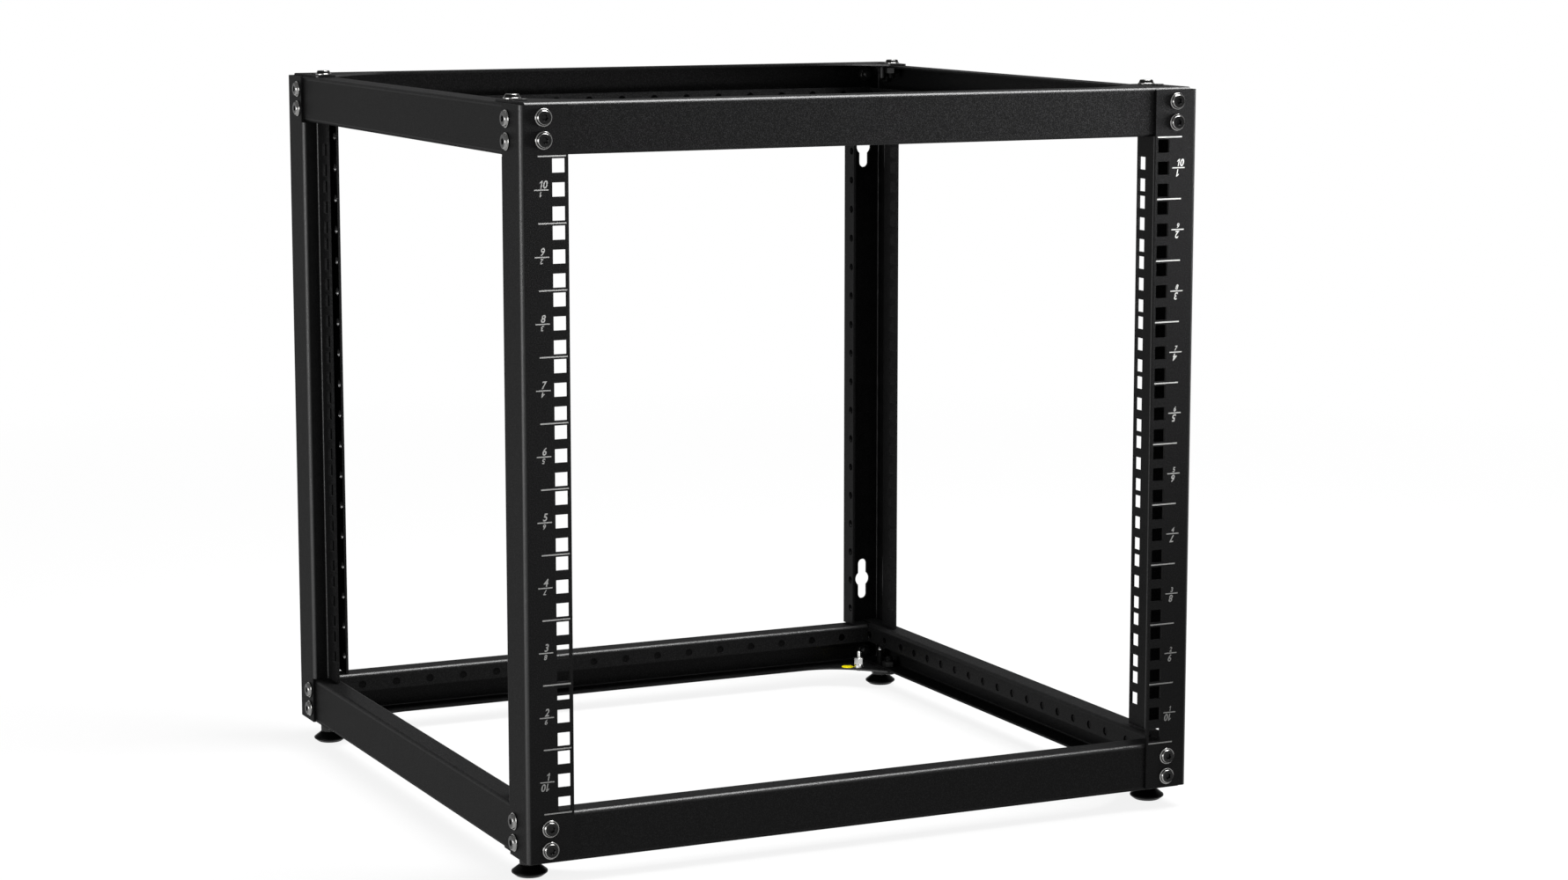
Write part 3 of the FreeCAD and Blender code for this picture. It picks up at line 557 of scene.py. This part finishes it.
def nut_tree(material):
    """A hexagon nut with both faces chamfered, standing on its seat."""
    tree, source, target, t = geometry_tree("Hexagon nut", NUT)
    half, tall, bore = t["Flats"] / 2, t["Tall"], t["Bore"] / 2
    slope, face = half * NUT_CHAMFER, half * NUT_FACE
    rows = [(bore, slope, ROUND), (bore + slope, 0.0, ROUND), (face, 0.0, ROUND)]
    rows += [(half, slope, HEXAGON), (half, tall - slope, HEXAGON), (face, tall, ROUND)]
    rows += [(bore + slope, tall, ROUND), (bore, tall - slope, ROUND), (bore, slope, ROUND)]
    return set_out(tree, source, target, turned(tree, rows), t, [(material, ALL_ROWS)])


nickel = grained("bright_nickel", NICKEL_DARK, NICKEL_LIGHT, rough=0.22, metal=1.0, gloss=0.5,
                 grain=0.6 * MM, flow=3.0 * MM, depth=0.01 * MM)
# Nickel darkened in colour as a painted dark reflection, on the bolt faces and the corner bolts' dome
# band.
painted_reflection_nickel = grained("nickel_face_painted_dark_reflection", PAINTED_REFLECTION_DARK, PAINTED_REFLECTION_LIGHT, rough=0.34, metal=1.0, gloss=0.5,
                      grain=0.5 * MM, flow=3.0 * MM, depth=0.01 * MM)
black_steel = grained("black_steel", BLACK_DARK, BLACK_LIGHT, rough=0.42, metal=0.6, gloss=0.4,
                      grain=0.5 * MM, flow=2.5 * MM, depth=0.02 * MM)
# Black steel below the rim row covers the shank and thread of the nickel-plated bolt: painted shade for
# the channels they sit in.
post_bolt = bolt_tree("Post bolt", [(black_steel, ALL_ROWS), (nickel, RIM_ROW), (painted_reflection_nickel, FACE_ROW)])
# Corner bolts: black shank as painted shade, bright rim, painted dark reflection on the dome, bright
# shoulder, painted dark reflection on the face.
corner_finish = [(black_steel, ALL_ROWS), (nickel, RIM_ROW), (painted_reflection_nickel, DOME_ROW),
                 (nickel, SHOULDER_ROW), (painted_reflection_nickel, FACE_ROW)]
corner_bolt = bolt_tree("Corner bolt", corner_finish)
hexagon_nut = nut_tree(black_steel)
outer = cad_box[1]
ends = [(a, b) for a in (-1, 1) for b in (-1, 1)]
face_seats, corner_seats, nut_seats = [], [], []
for level in ("bottom", "top"):
    for rail in ("front", "left"):
        rail_low, rail_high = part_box(level + "_" + rail + "_rail")
        middle = (rail_low.z + rail_high.z) / 2
        for z in (middle - BOLT_GAP / 2, middle + BOLT_GAP / 2):
            for a, b in ends:
                if rail == "front":
                    axis = Vector((0, b, 0))
                    spot = Vector((a * FRONT_BOLT_X, b * outer.y, z))
                else:
                    axis = Vector((a, 0, 0))
                    spot = Vector((a * outer.x, b * SIDE_BOLT_Y, z))
                face_seats.append((spot, axis))
                nut_seats.append((spot - axis * (POST_SHEET + RAIL_SHEET), -axis))
for up, level in ((1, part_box("top_front_rail")[1].z), (-1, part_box("bottom_front_rail")[0].z)):
    for a, b in ends:
        axis = Vector((0, 0, up))
        spot = Vector((a * CORNER_X, b * CORNER_Y, level))
        corner_seats.append((spot, axis))
        nut_seats.append((spot - axis * RAIL_SHEET * 2, -axis))
grow("post_bolts", face_seats, post_bolt, BOLT)
grow("corner_bolts", corner_seats, corner_bolt, {**BOLT, "Head": CORNER_HEAD})
grow("frame_nuts", nut_seats, hexagon_nut, NUT)


# Top plugs: black M6 screws with thin round heads close the foot holes in the upper corner tabs,
# so the frame is the same either way up. Their pointed ends hang inside the channels.

PLUG = {"Head": 8.4 * MM, "Thick": 1.0 * MM, "Thread": 5.7 * MM, "Long": 14.2 * MM, "Point": 1.8 * MM,
        "Spin": 0.0, "Spread": math.pi / 3}
PLUG_EDGE = 0.2 * MM
PLUG_TIP = 0.25
FOOT_X, FOOT_Y = 246.3 * MM, 219.25 * MM


def plug_tree(material):
    tree, source, target, t = geometry_tree("Plug screw", PLUG)
    head, thick, thread, end = t["Head"] / 2, t["Thick"], t["Thread"] / 2, -t["Long"]
    rows = [(0.0, end, ROUND), (thread * PLUG_TIP, end + PLUG_EDGE, ROUND)]
    rows += [(thread, end + t["Point"], ROUND), (thread, 0.0, ROUND)]
    rows += [(head - PLUG_EDGE, 0.0, ROUND), (head, PLUG_EDGE, ROUND)]
    rows += [(head, thick - PLUG_EDGE, ROUND), (head - PLUG_EDGE, thick, ROUND), (0.0, thick, ROUND)]
    return set_out(tree, source, target, turned(tree, rows), t, [(material, ALL_ROWS)])


top_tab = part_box("top_front_rail")[1].z
plug_seats = [((a * FOOT_X, b * FOOT_Y, top_tab), (0, 0, 1)) for a, b in ends]
grow("top_plugs", plug_seats, plug_tree(black_steel), PLUG)


# Levelling feet: a moulded black pad on a black M6 stud, with a wide nut that the corner tab rests on.
# The stud passes both tabs and shows inside the channel, where its coned end is given bright zinc: a
# painted highlight for the light it catches there.

ZINC_DARK, ZINC_LIGHT = (0.66, 0.66, 0.65, 1), (0.86, 0.86, 0.845, 1)
PAD_DARK, PAD_LIGHT = (0.0020, 0.0020, 0.0020, 1), (0.0035, 0.0035, 0.0035, 1)
STUD = {"Thread": 6.0 * MM, "Pitch": 1.0 * MM, "Long": 29.5 * MM, "Cone": 2.6 * MM,
        "Spin": 0.0, "Spread": math.pi}
STUD_TURNS = 27
STUD_TIP = ((0.0, 1.5), (0.78, 1.5), (0.78, 0.8), (0.45, 0.1), (0.0, 0.0))
TIP_ROW = 0.4
LOCK = {"Flats": 13.8 * MM, "Tall": 6.8 * MM, "Bore": 6.0 * MM, "Spin": math.radians(42), "Spread": 0.0}


def stud_tree(name, material, tip, turns):
    """A threaded stud whose bare end is turned to a cone."""
    tree, source, target, t = geometry_tree(name, STUD)
    long, wide, cone = t["Long"], t["Thread"] / 2, t["Cone"]
    shank = threaded(tree, t["Thread"], t["Pitch"], 0.0, long - cone, turns)
    rows = [(wide * out, long - cone * down, ROUND) for out, down in STUD_TIP]
    shape = joined(tree, shank, turned(tree, rows))
    return set_out(tree, source, target, shape, t, [(material, ALL_ROWS), (tip, TIP_ROW)])


def foot_of(node_name):
    """Middle of the underside of a standing piece."""
    low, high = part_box(node_name)
    return Vector(((low.x + high.x) / 2, (low.y + high.y) / 2, low.z))


zinc = grained("zinc_plate", ZINC_DARK, ZINC_LIGHT, rough=0.26, metal=1.0, gloss=0.5,
               grain=0.4 * MM, flow=2.0 * MM, depth=0.01 * MM)
pad_plastic = grained("moulded_black_pad", PAD_DARK, PAD_LIGHT, rough=0.30, metal=0.0, gloss=0.05,
                      grain=0.8 * MM, flow=4.0 * MM, depth=0.02 * MM)
for corner in CORNERS:
    dress(corner + "_foot_pad", pad_plastic)
stud_seats = [(foot_of(corner + "_foot_stud"), (0, 0, 1)) for corner in CORNERS]
lock_seats = [(foot_of(corner + "_lock_nut"), (0, 0, 1)) for corner in CORNERS]
# The black stud gets a bright zinc tip: a painted highlight where the tip catches light inside the
# channel.
foot_stud = stud_tree("Foot stud", black_steel, zinc, STUD_TURNS)
foot_studs = grow("foot_studs", stud_seats, foot_stud, STUD)
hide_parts(*[corner + "_foot_stud" for corner in CORNERS])
foot_nuts = grow("foot_lock_nuts", lock_seats, hexagon_nut, LOCK)
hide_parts(*[corner + "_lock_nut" for corner in CORNERS])


# Earth terminal: a zinc-plated M4 stud on the rear right corner tab with washer, spring washer and
# nut, and a plain yellow round sticker beside it on the tab.

YELLOW_DARK, YELLOW_LIGHT = (0.90, 0.76, 0.003, 1), (0.96, 0.83, 0.004, 1)
EARTH = {"Thread": 4.0 * MM, "Pitch": 0.7 * MM, "Long": 17.4 * MM, "Cone": 0.7 * MM,
         "Spin": 0.0, "Spread": 0.0}
EARTH_TURNS = 24
EARTH_NUT = {"Flats": 7.0 * MM, "Tall": 6.2 * MM, "Bore": 4.0 * MM, "Spin": 0.4, "Spread": 0.0}
STICKER = {"Wide": 10.4 * MM, "Thick": 0.15 * MM, "Spin": 0.0, "Spread": 0.0}
STICKER_EDGE = 0.04 * MM
STICKER_X, STICKER_Y = 217.0 * MM, 223.25 * MM


def sticker_tree(material):
    tree, source, target, t = geometry_tree("Round sticker", STICKER)
    wide, thick = t["Wide"] / 2, t["Thick"]
    rows = [(0.0, 0.0, ROUND), (wide, 0.0, ROUND), (wide, thick - STICKER_EDGE, ROUND)]
    rows += [(wide - STICKER_EDGE * 2, thick, ROUND), (0.0, thick, ROUND)]
    return set_out(tree, source, target, turned(tree, rows), t, [(material, ALL_ROWS)])


yellow_film = grained("yellow_sticker_film", YELLOW_DARK, YELLOW_LIGHT, rough=0.4, metal=0.0, gloss=0.4,
                      grain=0.8 * MM, flow=4.0 * MM, depth=0.01 * MM)
for ring in ("earth_washer", "earth_spring_washer"):
    dress(ring, zinc)
stud_seat = [(foot_of("earth_stud"), (0, 0, 1))]
zinc_stud = stud_tree("Earth stud", zinc, zinc, EARTH_TURNS)
earth_stud = grow("earth_thread", stud_seat, zinc_stud, EARTH)
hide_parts("earth_stud")
nut_seat = [(foot_of("earth_nut"), (0, 0, 1))]
earth_nut = grow("earth_hexagon", nut_seat, nut_tree(zinc), EARTH_NUT)
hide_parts("earth_nut")
tab_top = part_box("earth_washer")[0].z
sticker_seat = [((STICKER_X, STICKER_Y, tab_top), (0, 0, 1))]
grow("earth_sticker", sticker_seat, sticker_tree(yellow_film), STICKER)


# Studio: a white paper floor with far white walls under a dim ceiling. A small key lamp stands low at the
# right and isn't mirrored in the gloss, a broad lamp hangs overhead, and a fill stands at the left.
# The camera is where the photograph was taken from.

CAMERA_SPOT = (-1.0814, -2.38585, 0.648)
CAMERA_TILT = math.radians(90 - 8.505)
CAMERA_TURN = math.radians(-25.388)
CAMERA_LENS = 79.83
FLOOR_HALF = 40.0
FLOOR_DROP = 0.0003
WALL_TALL = 8.0
FADE_FROM, FADE_TO = 0.5, 2.2
GLOW_NEAR, GLOW_FAR = 0.87, 1.0
PAPER_NEAR, PAPER_FAR = (0.09, 0.09, 0.09, 1), (0.0, 0.0, 0.0, 1)
WHITE = (1, 1, 1, 1)
ROOM_LIGHT = 0.30
RACK_MIDDLE = (0, 0, 0.27)


def sees_background(tree):
    """1 for rays from the camera and for those that gloss and glass send on."""
    path = add(tree, "ShaderNodeLightPath")
    seen = Term(tree, path.outputs["Is Camera Ray"]).math("MAXIMUM", path.outputs["Is Glossy Ray"])
    return seen.math("MAXIMUM", path.outputs["Is Transmission Ray"])


def place_lamp(name, spot, aim, wide, tall, power, spread=180, mirrored=True):
    lamp = bpy.data.lights.new(name, "AREA")
    lamp.shape = "RECTANGLE"
    lamp.size = wide
    lamp.size_y = tall
    lamp.spread = math.radians(spread)
    lamp.energy = power
    holder = bpy.data.objects.new(name, lamp)
    holder.location = spot
    holder.rotation_euler = (Vector(spot) - Vector(aim)).to_track_quat("Z", "Y").to_euler()
    holder.visible_camera = False
    holder.visible_glossy = mirrored
    bpy.context.scene.collection.objects.link(holder)


floor_mesh = bpy.data.meshes.new("studio_floor")
square = [(x * FLOOR_HALF, y * FLOOR_HALF) for x, y in ((-1, -1), (1, -1), (1, 1), (-1, 1))]
paper_corners = [(x, y, z) for z in (-FLOOR_DROP, WALL_TALL) for x, y in square]
walls = [(k, k + 4, (k + 1) % 4 + 4, (k + 1) % 4) for k in range(4)]
floor_mesh.from_pydata(paper_corners, [], [(0, 1, 2, 3)] + walls)
floor = bpy.data.objects.new("studio_floor", floor_mesh)
bpy.context.scene.collection.objects.link(floor)
paper, tree, shader = new_material("white_paper", rough=0.9, metal=0.0, gloss=0.0)
place = add(tree, "ShaderNodeTexCoord").outputs["Object"]
far = add(tree, "ShaderNodeVectorMath", {0: place}, operation="LENGTH").outputs["Value"]
fade = span(tree, far, FADE_FROM, FADE_TO)
shade = add(tree, "ShaderNodeMix", {0: fade, 2: GLOW_NEAR, 3: GLOW_FAR}).outputs[0]
glow = Term(tree, shade) * sees_background(tree)
shader.inputs["Emission Color"].default_value = WHITE
feed(tree, shader.inputs["Emission Strength"], glow)
paper_tone = add(tree, "ShaderNodeMix", {0: fade}, data_type="RGBA")
paper_tone.inputs[6].default_value = PAPER_NEAR
paper_tone.inputs[7].default_value = PAPER_FAR
feed(tree, shader.inputs["Base Color"], paper_tone.outputs[2])
floor_mesh.materials.append(paper)

world = bpy.data.worlds.new("dim_ceiling")
world.use_nodes = True
bpy.context.scene.world = world
room = world.node_tree.nodes["Background"]
room.inputs["Color"].default_value = WHITE
room.inputs["Strength"].default_value = ROOM_LIGHT

place_lamp("key_lamp", (0.95, -0.5, 0.45), (0.1, -0.45, 0.80), wide=0.4, tall=0.3, power=30.0,
           spread=90, mirrored=False)
place_lamp("top_lamp", (0.62, -0.33, 2.26), RACK_MIDDLE, wide=1.1, tall=1.7, power=110.0)
place_lamp("left_lamp", (-2.3, -0.55, 0.45), RACK_MIDDLE, wide=1.6, tall=0.8, power=27.0)

lens = bpy.data.cameras.new("photo_camera")
lens.lens = CAMERA_LENS
lens.sensor_fit = "HORIZONTAL"
camera = bpy.data.objects.new("photo_camera", lens)
camera.location = CAMERA_SPOT
camera.rotation_euler = (CAMERA_TILT, 0, CAMERA_TURN)
bpy.context.scene.collection.objects.link(camera)
bpy.context.scene.camera = camera
bpy.context.scene.view_settings.view_transform = "Standard"
